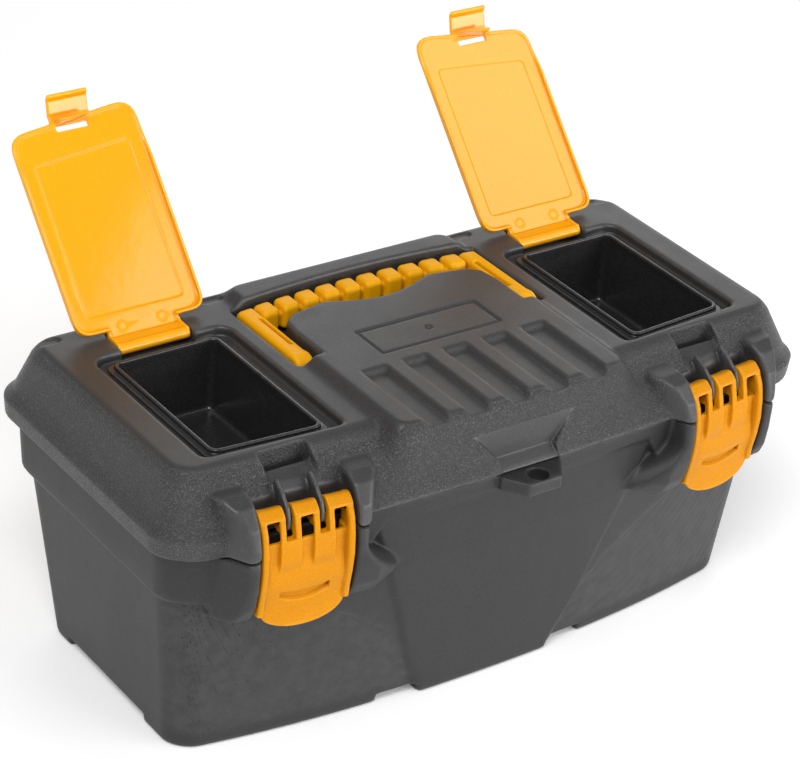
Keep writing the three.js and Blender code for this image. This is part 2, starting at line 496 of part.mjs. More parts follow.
add('base_shell', baseShell(), mat('base_plastic', 0x48484a, 0.62));
add('lid_shell', lidShell(), mat('lid_plastic', 0x545456, 0.7));
add('handle', handle(), mat('handle_plastic', 0xfdb416, 0.42));
for (const s of [-1, 1]) {
  const side = s < 0 ? 'left' : 'right';
  add(`latch_${side}`, latch(), mat(`latch_plastic_${side}`, 0xf9af14, 0.42),
    [s * LATCH.x + Math.sin(rad(s * -LATCH.turn)) * LATCH.pinY, LATCH.y + Math.cos(rad(LATCH.turn)) * LATCH.pinY, LATCH.pinZ],
    [0, 0, rad(s * LATCH.turn)]);
  add(`bin_${side}`, bin(s), mat(`bin_plastic_${side}`, 0x1c1c1e, 0.28));
  add(`bin_lid_${side}`, flap(s), mat(`bin_lid_plastic_${side}`, 0xffb600, 0.2),
    [0, FLAP.hingeY, FLAP.hingeZ], [rad(-FLAP.open), 0, 0]);
  add(`hinge_pin_${side}`, rodX(HINGE.pinR, s * HINGE.x - HINGE.half + 0.5, s * HINGE.x + HINGE.half - 0.5, HINGE.y, HINGE.z, 20), mat(`hinge_pin_steel_${side}`, 0x2c2d30, 0.4, 0.8));
  add(`latch_pin_${side}`, rodX(LATCH.pinR, -28.5, 28.5, 0, 0, 16), mat(`latch_pin_steel_${side}`, 0x2c2d30, 0.4, 0.8),
    [s * LATCH.x + Math.sin(rad(s * -LATCH.turn)) * LATCH.pinY, LATCH.y + Math.cos(rad(LATCH.turn)) * LATCH.pinY, LATCH.pinZ],
    [0, 0, rad(s * LATCH.turn)]);
  const [a, b] = spanX(s, 50.5, 66.1);
  add(`handle_pin_${side}`, rodX(HANDLE.pinR, a, b, HANDLE.y, HANDLE.z, 16), mat(`handle_pin_steel_${side}`, 0x2c2d30, 0.4, 0.8));
  const [c, d] = spanX(s, FLAP.tongueIn - 4, FLAP.tongueOut + 4);
  add(`bin_lid_pin_${side}`, rodX(FLAP.pinR, c, d, FLAP.hingeY, FLAP.hingeZ, 14), mat(`bin_lid_pin_steel_${side}`, 0x2c2d30, 0.4, 0.8));
}

export default group;
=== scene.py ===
import bpy
import json
import math
import numpy as np
from mathutils import Matrix, Vector


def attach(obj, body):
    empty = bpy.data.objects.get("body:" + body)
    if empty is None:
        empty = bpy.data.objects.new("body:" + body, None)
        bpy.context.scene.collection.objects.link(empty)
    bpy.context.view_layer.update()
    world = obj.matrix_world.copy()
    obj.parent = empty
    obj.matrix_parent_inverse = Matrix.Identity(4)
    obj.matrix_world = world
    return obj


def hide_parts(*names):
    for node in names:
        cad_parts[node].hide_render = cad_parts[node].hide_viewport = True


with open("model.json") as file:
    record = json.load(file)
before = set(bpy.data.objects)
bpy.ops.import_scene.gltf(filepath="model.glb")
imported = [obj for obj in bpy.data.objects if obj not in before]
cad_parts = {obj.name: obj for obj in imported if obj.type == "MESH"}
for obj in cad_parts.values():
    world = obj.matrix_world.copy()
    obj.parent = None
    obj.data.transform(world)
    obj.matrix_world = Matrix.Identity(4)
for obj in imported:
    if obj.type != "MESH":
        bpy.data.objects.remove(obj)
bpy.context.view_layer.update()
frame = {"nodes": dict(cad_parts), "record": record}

# --------------------------------------------------------------------- frame
RECORD = frame["record"]
JOINTS = {j["name"]: j for j in RECORD["behaviour"]["joints"]}
Y0 = 76.6 - 1000.0 * JOINTS["lid_hinge"]["pos_m"][1]   # design frame to row frame, mm
COARSE = 1.0
F4 = np.float32

SEAM, LID_Z0 = 104.0, 104.4
TURN = math.radians(5.5)
BASE_BODY = [(0, 147.5, 54, -56.5, 11, 12), (79, 155, 66.2, -63.5, 15, 14), (104, 156.6, 68, -65, 15.5, 14), (118, 157, 68.4, -67.2, 15, 14)]
BASE_BAND = [(79, 156.4, 67.6, -64.8, 15.4, 14.5), (82.5, 158.6, 69.6, -67, 15.5, 15), (104, 159.6, 70.6, -68, 15.5, 15), (118, 159.6, 70.6, -70.4, 14.6, 15)]
BASE_CAVITY = [(7, 145.7, 52.6, -54.7, 11.3, 10), (79, 152.6, 63.8, -61.1, 15, 11.6), (120, 155, 66.4, -63.8, 15.2, 11.6)]
LID_OUTER = [(104.4, 161, 72, -69.5, 15.8, 15), (107.2, 164.6, 75.2, -73, 13.8, 17), (114.8, 165, 75.6, -73.5, 12.9, 17),
             (118.4, 161.6, 72.4, -70.6, 12.6, 15), (134.4, 155.6, 67, -61.4, 5, 13), (139, 152.4, 64, -57, 1.6, 11)]
LID_CAVITY = [(102, 158.2, 69.2, -66.6, 13.6, 12.6), (116.6, 158.4, 69.4, -67, 12.8, 12.6), (132.6, 152.8, 64.4, -58.6, 5, 10.6),
              (136.4, 149.8, 61.6, -54.6, 1.6, 8.6)]
HOOD_OUTER = [(112, 76, 60, -81.5, 4, 16), (127, 68, 62, -78.4, 2.4, 13), (139.5, 59.5, 62.5, -74.6, 1, 8), (142.5, 57.4, 61, -72, .8, 6)]
HOOD_CAVITY = [(108, 72, 50, -78.6, 3.6, 14), (127, 64.6, 50, -75.4, 2.2, 10.6), (136.4, 58.4, 50, -72.2, 1, 8)]


# ------------------------------------------------------------- field helpers
def smin(a, b, k=0.):
    if k <= 0:
        return np.minimum(a, b)
    h = np.maximum(k - np.abs(a - b), 0)
    return np.minimum(a, b) - h * h * F4(.25 / k)


def smax(a, b, k=0.):
    if k <= 0:
        return np.maximum(a, b)
    h = np.maximum(k - np.abs(a - b), 0)
    return np.maximum(a, b) + h * h * F4(.25 / k)


def step01(t):
    t = np.clip(t, 0, 1)
    return t * t * (3 - 2 * t)


class Grid:
    """A box of sample points. x, y, z broadcast against each other."""
    def __init__(self, lo, hi, h):
        self.h, self.lo = h, [float(v) for v in lo]
        self.n = [int(math.ceil((b - a) / h)) + 1 for a, b in zip(lo, hi)]
        ax = [(l + h * np.arange(n)).astype(F4) for l, n in zip(lo, self.n)]
        self.x, self.y, self.z = ax[0][:, None, None], ax[1][None, :, None], ax[2][None, None, :]

    def cut(self, x0, x1, y0, y1, z0, z1):
        """Index ranges and coordinates of the samples inside a box."""
        s = []
        for (a, b), l, n in zip(((x0, x1), (y0, y1), (z0, z1)), self.lo, self.n):
            i = max(0, int(math.floor((a - l) / self.h)))
            j = min(n, int(math.ceil((b - l) / self.h)) + 1)
            s.append(slice(i, max(i, j)))
        s = tuple(s)
        return s, self.x[s[0]], self.y[:, s[1]], self.z[:, :, s[2]]


def edit(G, F, box, fn):
    """F inside the box becomes fn(F there, x, y, z)."""
    s, x, y, z = G.cut(*box)
    if all(v.stop > v.start for v in s):
        F[s] = fn(F[s], x, y, z)


def poly(u, v, pts):
    """Signed distance in the plane to a closed outline, negative inside."""
    u, v = np.broadcast_arrays(u, v)
    d = np.full(u.shape, 1e9, F4)
    sgn = np.ones(u.shape, bool)
    n = len(pts)
    for i in range(n):
        ax, ay = pts[i]
        bx, by = pts[i - 1]
        ex, ey = bx - ax, by - ay
        wx, wy = u - F4(ax), v - F4(ay)
        t = np.clip((wx * F4(ex) + wy * F4(ey)) / F4(ex * ex + ey * ey + 1e-12), 0, 1)
        qx, qy = wx - F4(ex) * t, wy - F4(ey) * t
        d = np.minimum(d, qx * qx + qy * qy)
        c1, c2, c3 = v >= ay, v < by, ex * wy > ey * wx
        flip = (c1 & c2 & c3) | (~c1 & ~c2 & ~c3)
        sgn ^= flip
    return np.where(sgn, 1, -1).astype(F4) * np.sqrt(d)


def soften(pts, r, n=4):
    """The outline with its corners rounded to radius r where there's room."""
    out = []
    m = len(pts)
    for i in range(m):
        p, a, b = np.array(pts[i], float), np.array(pts[i - 1], float), np.array(pts[(i + 1) % m], float)
        u, v = a - p, b - p
        lu, lv = np.hypot(*u), np.hypot(*v)
        u, v = u / lu, v / lv
        c = np.clip(np.dot(u, v), -1, 1)
        half = math.acos(c) / 2
        if half > 1.5:
            out.append(tuple(p))
            continue
        d = min(r / math.tan(half), .45 * lu, .45 * lv)
        p0, p1 = p + u * d, p + v * d
        for k in range(n + 1):
            t = k / n
            out.append(tuple((1 - t) ** 2 * p0 + 2 * t * (1 - t) * p + t * t * p1))
    return out


def slab(t, a, b):
    return np.abs(t - F4((a + b) / 2)) - F4(abs(b - a) / 2)


def prism(a2d, t, a, b, k=0.):
    return smax(a2d, slab(t, a, b), k)


def boxf(x, y, z, x0, x1, y0, y1, z0, z1, k=0.):
    return smax(smax(slab(x, x0, x1), slab(y, y0, y1), k), slab(z, z0, z1), k)


def rect2(u, v, u0, u1, v0, v1, r):
    """Signed distance to a rectangle with round corners."""
    qx = slab(u, u0, u1) + F4(r)
    qy = slab(v, v0, v1) + F4(r)
    return np.hypot(np.maximum(qx, 0), np.maximum(qy, 0)) + np.minimum(np.maximum(qx, qy), 0) - F4(r)


def rod(u, v, cu, cv, r):
    return np.hypot(u - F4(cu), v - F4(cv)) - F4(r)


def plan_side(x, y, z, levels, proud=None):
    """Side walls that run through a stack of plan outlines: straight back, bowed front, round corners."""
    L = np.array(levels, float)
    zz = z.ravel().astype(float)

    def at(c):
        v = np.interp(zz, L[:, 0], L[:, c])
        return v.astype(F4)[None, None, :]
    hx, yb, yf, bow, r = (at(c) for c in range(1, 6))
    span = hx - r
    ax = np.abs(x)
    s = bow * np.maximum(1 - (ax / span) ** F4(2.3), F4(-.16))
    if proud is not None:
        s = s + proud
    w = np.clip((yb - 20 - y) / (yb - 20 - yf), 0, 1)
    yy = y + s * w
    cy, hy = (yb + yf) / 2, (yb - yf) / 2
    qx, qy = ax - hx + r, np.abs(yy - cy) - hy + r
    return np.hypot(np.maximum(qx, 0), np.maximum(qy, 0)) + np.minimum(np.maximum(qx, qy), 0) - r


def latch_frame(x, y):
    """Plan coordinates in the right latch's own frame."""
    c, s = F4(math.cos(TURN)), F4(math.sin(TURN))
    dx, dy = x - F4(108), y + F4(78.4)
    return c * dx + s * dy, -s * dx + c * dy


def seam(x):
    """Height of the base rim over the front: a shallow arch."""
    return np.maximum(F4(SEAM), F4(113.9) - F4(10) * (np.abs(x) / F4(150)) ** F4(3.2))


def nose(lx, ly):
    """Plan of the cheek outboard of a latch: narrow nose, outer side angled back."""
    a = smax((lx - F4(26.4)) * F4(.870) - (ly + F4(9.6)) * F4(.4926), lx - F4(35.6), 1.2)
    return smax(np.where(ly < -9.6, (lx - F4(26.4)) * F4(.870), a), F4(21.5) - lx, .6)


def mirror(F):
    return np.concatenate([F[:0:-1], F], 0)


# ------------------------------------------------------------------- meshing
def nets(F):
    """Surface nets: grid positions of the vertices, and quads."""
    S = F < 0
    nx, ny, nz = F.shape
    C = np.zeros((nx - 1, ny - 1, nz - 1), np.uint8)
    for a in (0, 1):
        for b in (0, 1):
            for c in (0, 1):
                C += S[a:nx - 1 + a, b:ny - 1 + b, c:nz - 1 + c]
    ids = np.flatnonzero(((C > 0) & (C < 8)).ravel())
    idx = np.full(C.size, -1, np.int32)
    idx[ids] = np.arange(len(ids), dtype=np.int32)
    idx = idx.reshape(C.shape)
    ci, cj, ck = np.unravel_index(ids, C.shape)
    pos = np.zeros((len(ids), 3))
    cnt = np.zeros(len(ids))
    val = {}
    for a in (0, 1):
        for b in (0, 1):
            for c in (0, 1):
                val[a, b, c] = F[ci + a, cj + b, ck + c].astype(float)
    for p in val:
        for axis in range(3):
            if p[axis] == 1:
                continue
            q = list(p)
            q[axis] = 1
            fa, fb = val[p], val[tuple(q)]
            m = (fa < 0) != (fb < 0)
            t = np.where(m, fa / np.where(m, fa - fb, 1), 0)
            for k in range(3):
                pos[:, k] += m * (p[k] + (t if k == axis else 0))
            cnt += m
    pos = pos / cnt[:, None] + np.stack([ci, cj, ck], 1)
    quads = []
    A = S[:-1, 1:-1, 1:-1]
    i, j, k = np.nonzero(A != S[1:, 1:-1, 1:-1])
    j, k = j + 1, k + 1
    q = np.stack([idx[i, j - 1, k - 1], idx[i, j, k - 1], idx[i, j, k], idx[i, j - 1, k]], 1)
    quads.append(np.where(S[i, j, k][:, None], q, q[:, ::-1]))
    i, j, k = np.nonzero(S[1:-1, :-1, 1:-1] != S[1:-1, 1:, 1:-1])
    i, k = i + 1, k + 1
    q = np.stack([idx[i - 1, j, k - 1], idx[i - 1, j, k], idx[i, j, k], idx[i, j, k - 1]], 1)
    quads.append(np.where(S[i, j, k][:, None], q, q[:, ::-1]))
    i, j, k = np.nonzero(S[1:-1, 1:-1, :-1] != S[1:-1, 1:-1, 1:])
    i, j = i + 1, j + 1
    q = np.stack([idx[i - 1, j - 1, k], idx[i, j - 1, k], idx[i, j, k], idx[i - 1, j, k]], 1)
    quads.append(np.where(S[i, j, k][:, None], q, q[:, ::-1]))
    return pos, np.concatenate(quads).astype(np.int32)


def new_mesh(name, verts, faces):
    me = bpy.data.meshes.new(name)
    n, m = len(verts), len(faces)
    k = faces.shape[1]
    me.vertices.add(n)
    me.vertices.foreach_set("co", np.ascontiguousarray(verts, F4).ravel())
    me.loops.add(m * k)
    me.loops.foreach_set("vertex_index", np.ascontiguousarray(faces, np.int32).ravel())
    me.polygons.add(m)
    me.polygons.foreach_set("loop_start", np.arange(0, m * k, k, dtype=np.int32))
    me.update(calc_edges=True)
    me.validate()
    return me


def trilinear(F, g):
    """F sampled at grid positions g."""
    n = np.array(F.shape)
    g = np.clip(g, 0, n - 1.001)
    i = g.astype(int)
    f = g - i
    out = 0
    for a in (0, 1):
        for b in (0, 1):
            for c in (0, 1):
                w = (f[:, 0] if a else 1 - f[:, 0]) * (f[:, 1] if b else 1 - f[:, 1]) * (f[:, 2] if c else 1 - f[:, 2])
                out = out + w * F[i[:, 0] + a, i[:, 1] + b, i[:, 2] + c]
    return out


def blur(A, r):
    """Box filter, r samples each way along each axis."""
    for axis in range(3):
        A = np.moveaxis(A, axis, 0)
        P = np.concatenate([np.repeat(A[:1], r + 1, 0), A, np.repeat(A[-1:], r, 0)])
        c = np.cumsum(P, 0, dtype=np.float32)
        A = np.moveaxis((c[2 * r + 1:] - c[:-2 * r - 1]) / F4(2 * r + 1), 0, axis)
    return A


def build(name, F, lo, h, target, place=None, body=None, node=None, material=None, extra=None, reach=1.5):
    """Field to finished piece. place: design mm at rest from the mm frame of the field."""
    F = np.ascontiguousarray(F, F4)
    for s in ((0,), (-1,), (slice(None), 0), (slice(None), -1), (slice(None), slice(None), 0), (slice(None), slice(None), -1)):
        F[s] = np.maximum(F[s], F4(.2 * h))
    pos, quads = nets(F)
    me = new_mesh(name, pos * h + np.array(lo), quads)
    tris = 2 * len(quads)
    if tris > target:
        tmp = bpy.data.objects.new(name + "_tmp", me)
        bpy.context.scene.collection.objects.link(tmp)
        mod = tmp.modifiers.new("d", "DECIMATE")
        mod.ratio = target / tris
        mod.use_collapse_triangulate = True
        bpy.context.view_layer.update()
        out = bpy.data.meshes.new_from_object(tmp.evaluated_get(bpy.context.evaluated_depsgraph_get()))
        bpy.data.objects.remove(tmp)
        bpy.data.meshes.remove(me)
        me = out
        me.name = name
    n = len(me.vertices)
    v = np.zeros(n * 3, F4)
    me.vertices.foreach_get("co", v)
    v = v.reshape(-1, 3).astype(float)
    g = (v - np.array(lo)) / h
    # back onto the surface, with the field's own normals
    e = np.eye(3)
    for _ in range(2):
        f = trilinear(F, g)
        N = np.stack([trilinear(F, g + .6 * e[a]) - trilinear(F, g - .6 * e[a]) for a in range(3)], 1) / 1.2
        l = np.sum(N * N, 1)
        d = np.clip(f / np.maximum(l, (.3 * h) ** 2), -.5, .5)
        g = g - N * d[:, None]
    N = np.stack([trilinear(F, g + .8 * e[a]) - trilinear(F, g - .8 * e[a]) for a in range(3)], 1)
    N /= np.maximum(np.linalg.norm(N, axis=1), 1e-9)[:, None]
    # occlusion measures: hollow and shade drive painted shade in the materials, convex drives the lighter edges
    occ = np.clip(.5 - F / F4(h), 0, 1)
    r = max(1, int(round(reach / h)))
    o = trilinear(blur(blur(occ, r), r), g)
    convex = np.clip((.46 - o) / .16, 0, 1)
    hollow = np.clip((o - .54) / .18, 0, 1)
    wide = max(2, int(round(4 * reach / h)))
    o2 = trilinear(blur(occ, wide), g)
    shade = np.clip((o2 - .5) / .3, 0, 1)
    v = g * h + np.array(lo)
    attrs = {"convex": convex, "hollow": hollow, "shade": shade}
    if extra is not None:
        attrs.update(extra(v, N))
    if place is not None:
        R, t = place
        v = v @ R.T + t
        N = N @ R.T
    v[:, 1] -= Y0
    me.vertices.foreach_set("co", np.ascontiguousarray(v / 1000, F4).ravel())
    me.polygons.foreach_set("use_smooth", np.ones(len(me.polygons), bool))
    for k, a in attrs.items():
        me.attributes.new(k, "FLOAT", "POINT").data.foreach_set("value", np.ascontiguousarray(a, F4))
    me.update()
    me.normals_split_custom_set_from_vertices(N.astype(F4).tolist())
    ob = bpy.data.objects.new(name, me)
    bpy.context.scene.collection.objects.link(ob)
    me.materials.clear()
    me.materials.append(material)
    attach(ob, body)
    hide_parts(node)
    return ob


# ---------------------------------------------------------------------- base
def base_field(G):
    x, y, z = G.x, G.y, G.z
    # two creases sweep over the front: a steep one and an arc that runs to the latch
    zz = z
    wa = np.interp(zz.ravel(), [0, 10, 32, 52, 80, 104], [35, 38.5, 47, 53, 63, 72]).astype(F4)[None, None, :]
    wb = np.interp(zz.ravel(), [0, 8, 24, 32, 45, 56, 66, 70, 74, 80, 104], [34, 36, 44, 50, 61, 76, 95, 108, 126, 150, 190]).astype(F4)[None, None, :]
    proud = F4(1.3) * step01((wb - x) / 4.2 + .5) + F4(1.35) * step01((wa - x) / 3.6 + .5)
    body = plan_side(x, y, z, BASE_BODY, proud - F4(1.3))
    F = smax(body, -z, 3.2)
    # rim band, kept high over the front middle
    band = plan_side(x, y, z, BASE_BAND)
    band = smax(band, F4(79.4) - z, 1.5)
    front = np.interp(x.ravel(), [0, 60, 68, 84, 88, 92, 98], [106, 106, 105.2, 80.2, 79.2, 79, 79]).astype(F4)[:, None, None]
    band = smax(band, np.where(y < -40, front - z, F4(-50)), 1.2)
    F = smin(F, band, 3.0)
    # cheeks either side of each latch
    def cheeks(f, x, y, z):
        lx, ly = latch_frame(x, y)
        prof = soften([(16, 124), (-9.4, 124), (-9.4, 103), (-8.8, 94), (-6.6, 84), (-2.4, 76.6), (16, 73)], 5)
        P = poly(ly, z, prof)
        outer = smax(P, nose(lx, ly), 2.0)
        flare = F4(13) * step01((F4(104) - z) / 26)
        side = (-lx - F4(26.4)) * F4(.870) - (ly + F4(9.6)) * F4(.4926) - flare
        inner = smax(smax(P + np.maximum(-lx - 33, 0) * F4(.42), smax(side, -lx - F4(27) - flare * F4(2), 2.), 2.4), lx + F4(21.5), 2.4)
        f = smin(f, outer, 2.4)
        return smin(f, inner, 2.4)
    edit(G, F, (50, 162, -99, -40, 68, 118), cheeks)
    # padlock eye
    def eye(f, x, y, z):
        a = poly(np.abs(x), y, soften([(-15.6, -80), (-15.6, -86.4), (-8.2, -96.6), (8.2, -96.6), (15.6, -86.4), (15.6, -80)], .8))
        return smin(f, prism(a, z, 107.2, 113.5, .9), .5)
    edit(G, F, (0, 22, -99, -74, 104, 116), eye)
    # hinge knuckles and their webs
    def knuckles(f, x, y, z):
        web = poly(y, z, soften([(64, 89), (69.3, 90), (78.6, 98.2), (76.6, 101), (66, 101)], 1.5))
        for a, b in ((66, 81.65), (98.35, 114)):
            k = smax(rod(y, z, 76.6, 102, 4.5), slab(x, a, b), .8)
            w = smax(web, slab(x, a, b), .8)
            f = smin(f, smin(k, w, 1.2), 1.6)
        return f
    edit(G, F, (60, 120, 60, 83, 84, 106), knuckles)
    # flat rim with a small round on its outer edge
    F = smax(F, np.where(y < -40, z - seam(x), z - F4(SEAM)), .9)
    inside = smax(plan_side(x, y, z, BASE_CAVITY), F4(7) - z, 5)
    F = smax(F, -inside, .9)
    # recessed seat for each latch
    def seats(f, x, y, z):
        lx, ly = latch_frame(x, y)
        c = smax(smax(slab(lx, -21.5, 21.5), ly - F4(5.6), 1.2), F4(60) - z, 1.)
        return smax(f, -c, 1.1)
    edit(G, F, (70, 145, -99, -55, 58, 118), seats)
    def bores(f, x, y, z):
        f = smax(f, -smax(rod(y, z, 76.6, 102, 5.1), slab(x, 81.65, 98.35), .0), .3)
        f = smax(f, -smax(rod(y, z, 76.6, 102, 2.35), slab(x, 60, 120), 0), .3)
        return f
    edit(G, F, (60, 120, 68, 83, 94, 108), bores)
    edit(G, F, (0, 7, -97, -83, 98, 117), lambda f, x, y, z: smax(f, -rod(x, y, 0, -90.8, 4.4), .6))
    # feet
    def feet(f, x, y, z):
        for b in ((-134, 134, -44, 41), (120, 190, -28, 34), (34.5, 54.4, -110, -40), (-56, 56, 38, 80)):
            d = smax(rect2(x, y, *b, 2.5), z - F4(4.5), .8)
            f = smax(f, -d, 1.4)
        return f
    edit(G, F, (0, 162, -85, 70, -3, 7), feet)
    # moulded ribs under the floor
    def ribs(f, x, y, z):
        g = np.minimum(np.abs(np.mod(x + 22, 44) - 22), np.abs(np.mod(y + 11, 26) - 13))
        r = smax(smax(g - F4(.7), rect2(x, y, -136, 136, -46, 43, 3)), slab(z, 2.6, 8), .4)
        return smin(f, r, 1.2)
    edit(G, F, (0, 140, -50, 46, 1, 9), ribs)
    return F


# ----------------------------------------------------------------------- lid
def lid_field(G):
    x, y, z = G.x, G.y, G.z
    side = plan_side(x, y, z, LID_OUTER)
    L = smax(smax(side, z - F4(139), 3.4), F4(LID_Z0) - z, .8)
    hood = plan_side(x, y, z, HOOD_OUTER)
    H = smax(hood, z - F4(142.5), 2.0)
    H = smax(H, F4(LID_Z0) - z, .8)
    F = smin(L, H, 4.0)

    def cheeks(f, x, y, z):
        lx, ly = latch_frame(x, y)
        prof = soften([(20, 131.6), (4.4, 131.6), (-1.4, 129), (-7, 121.5), (-9.4, 113), (-9.8, 101), (20, 101)], 1.8)
        P = poly(ly, z, prof)
        for t in (1, -1):
            f = smin(f, smax(P, nose(lx * t, ly), 1.8), 1.6)
        return f
    edit(G, F, (60, 166, -99, -40, 100, 134), cheeks)

    def knuckle(f, x, y, z):
        k = smax(rod(y, z, 76.6, 102, 4.5), slab(x, 82, 98), .8)
        w = smax(poly(y, z, soften([(70, 106), (74.6, 103.2), (80.8, 103.2), (78.2, 110), (70, 114)], 1.2)), slab(x, 82, 98), .8)
        return smin(f, smin(k, w, 1.2), 1.6)
    edit(G, F, (76, 104, 66, 83, 96, 118), knuckle)

    # inside, less the blocks that carry the pocket, bins, notches and latches
    inside = smin(plan_side(x, y, z, LID_CAVITY), plan_side(x, y, z, HOOD_CAVITY), 1.)
    inside = smax(inside, z - F4(136.4), 1.)
    s, bx, by, bz = G.cut(0, 170, -99, 60, 98, 146)
    lx, ly = latch_frame(bx, by)
    B = boxf(bx, by, bz, -67, 67, -9.6, 54.5, 123.8, 150, 2)
    B = np.minimum(B, boxf(bx, by, bz, -28.5, 28.5, -95, -73, 100, 137, 1))
    B = np.minimum(B, prism(poly(by, bz, [(-56.4, 132.2), (40, 132.2), (42, 129.4), (50, 129.4), (57, 135), (57, 150), (-56.4, 150)]), bx, 70.1, 139.9, 1))
    B = np.minimum(B, prism(poly(by, bz, [(-52, 140), (-52, 124.6), (-61.6, 124.6), (-62.4, 129.6), (-84, 121), (-84, 140)]), bx, 92, 118.8, 1))
    B = np.minimum(B, boxf(lx, ly, bz, -23.7, 23.7, -30, 10.4, 100, 130.6, 1))
    inside[s] = smax(inside[s], -B, .8)
    F = smax(F, -inside, .8)
    F = smax(F, np.where(y < -40, seam(x) + F4(.4) - z, F4(-50)), 2.6)

    # handle pocket: bowed back wall, island in front
    def pocket(f, x, y, z):
        back = [(64.4 - 128.8 * i / 12, 47 + 4.4 * (1 - ((64.4 - 128.8 * i / 12) / 64.4) ** 2)) for i in range(13)]
        out = poly(x, y, soften([(-64.4, -6.4), (64.4, -6.4)] + back, 2.2))
        arc = [(27 - 54 * i / 12, 23.6 + 7.6 * abs((27 - 54 * i / 12) / 27) ** 1.7) for i in range(13)]
        isl = poly(x, y, soften([(-52.9, -14), (52.9, -14), (52.9, 14), (51.4, 23.4), (45.6, 28)] + arc + [(-45.6, 28), (-51.4, 23.4), (-52.9, 14)], 4.5))
        # the arm slots end with a soft ramp at the front
        hole = smax(out, -isl, 1.0)
        hole = smax(hole, F4(126.2) - z, 1.2)
        return smax(f, -hole, 1.7)
    edit(G, F, (0, 70, -12, 56, 122, 146), pocket)

    # grip flutes
    def flutes(f, x, y, z):
        for c in (0, 20.5, 41):
            u = np.abs(x - F4(c)) - (F4(4.3) + (z - F4(139.8)) * F4(.72))
            v = (y + F4(30.6)) - (z - F4(139.8)) * F4(1.15)
            ch = smax(smax(u * F4(.81), v * F4(.66), .6), F4(139.8) - z, 1.0)
            f = smax(f, -ch, .9)
        return f
    edit(G, F, (0, 54, -95, -22, 136, 146), flutes)

    # blank name plate: a shallow channel around it and a gate mark in the middle
    def plate(f, x, y, z):
        ring = np.maximum(rect2(x, y, -31.3, 31.3, -19.7, 1.7, 1.2), -rect2(x, y, -29.9, 29.9, -18.3, .3, .5))
        f = smax(f, -np.maximum(ring, F4(141.75) - z), .25)
        field = np.maximum(rect2(x, y, -29.9, 29.9, -18.3, .3, .5), F4(142.25) - z)
        f = smax(f, -field, .2)
        gate = np.hypot(x, y + F4(9)) - F4(1.7)
        f = smax(f, -np.maximum(gate, F4(141.6) - z), .3)
        nub = smax(np.hypot(x - F4(.3), y + F4(8.7)) - F4(.75), z - F4(142.6), .2)
        return smin(f, np.maximum(nub, F4(141) - z), .2)
    edit(G, F, (0, 34, -22, 4, 140, 144.5), plate)

    # padlock pocket
    def wedge(f, x, y, z):
        a = poly(y, z, [(-78.1, 136), (-79.8, 119), (-88.4, 113), (-114, 113), (-114, 136)])
        b = poly(x, z, [(-26.2, 132.4), (26.2, 132.4), (14.4, 119.2), (14.2, 103.6), (-14.2, 103.6), (-14.4, 119.2)])
        return smax(f, -smax(a, b, .5), .7)
    edit(G, F, (0, 32, -99, -70, 103, 138), wedge)

    def bay(f, x, y, z):
        # recess round the bin, its opening, the hinge trough and the pin bore
        o = smax(rect2(x, y, 72.5, 137.5, -70, 38.2, 7.), F4(-54) + (x - F4(72.5)) * F4(.0646) - y, 5.)
        f = smax(f, -smax(o, F4(134.6) - z, 1.6), 1.7)
        q = smax(rect2(x, y, 79.8, 131.6, -60, 33.4, 3), -(y - (F4(-50.6) + (x - F4(79.8)) * F4(.0676))), 1.5)
        f = smax(f, -smax(q, F4(120) - z, 0), .6)
        f = smax(f, -prism(poly(y, z, soften([(34, 133.4), (46.4, 131.6), (48.4, 132.6), (54.4, 139), (54.4, 150), (34, 150)], 1.2)), x, 87.2, 122.4, 1.2), 1.1)
        f = smax(f, -smax(rod(y, z, 43.6, 136.4, 1.55), slab(x, 83.2, 126.4), 0), .25)
        return f
    edit(G, F, (66, 142, -62, 60, 118, 146), bay)

    def notch(f, x, y, z):
        slot = poly(y, z, soften([(-56.2, 150), (-56.2, 126), (-59.6, 126), (-60.4, 132.2), (-86, 122.6), (-86, 150)], .7))
        return smax(f, -prism(slot, x, 94.2, 116.6, 2.0), 1.2)
    edit(G, F, (88, 124, -90, -48, 120, 146), notch)

    # shallow pads behind the flip lids
    for c, w in ((66.4, 5.2), (146, 5.2)):
        edit(G, F, (c - 12, c + 12, 50, 68, 134, 142),
             lambda f, x, y, z: smax(f, -smax(rect2(x, y, c - w, c + w, 57.3, 61.6, 2.0), F4(138.0) - z, .6), .9))

    def latchbay(f, x, y, z):
        lx, ly = latch_frame(x, y)
        c = smax(smax(slab(lx, -21.5, 21.5), ly - F4(8), 1.6), z - F4(127.6), 1.2)
        f = smax(f, -c, 1.1)
        prof = soften([(10.6, 133.4), (4, 129.8), (-1.4, 125.2), (-3.4, 120.6), (-3.4, 116.6), (0, 113.6), (10.6, 111.6)], 1.4)
        P = poly(ly, z, prof)
        for a in (-7.5, 7.5):
            f = smin(f, smax(P, slab(lx, a - .9, a + .9), .5), .8)
        f = smax(f, -smax(rod(ly, z, 1, 119.6, 2.15), slab(lx, -27, 27), 0), .25)
        return f
    edit(G, F, (66, 150, -99, -55, 96, 136), latchbay)

    def hinges(f, x, y, z):
        for a, b in ((65.65, 82), (98, 114.35)):
            f = smax(f, -smax(rod(y, z, 76.6, 102, 5.1), slab(x, a, b), 0), .3)
        return smax(f, -smax(rod(y, z, 76.6, 102, 2.35), slab(x, 60, 120), 0), .3)
    edit(G, F, (60, 120, 66, 83, 94, 112), hinges)
    edit(G, F, (48, 69, -4, 5, 129, 139), lambda f, x, y, z: smax(f, -smax(rod(y, z, .5, 134, 2.35), slab(x, 50, 66.6), 0), .25))
    return F


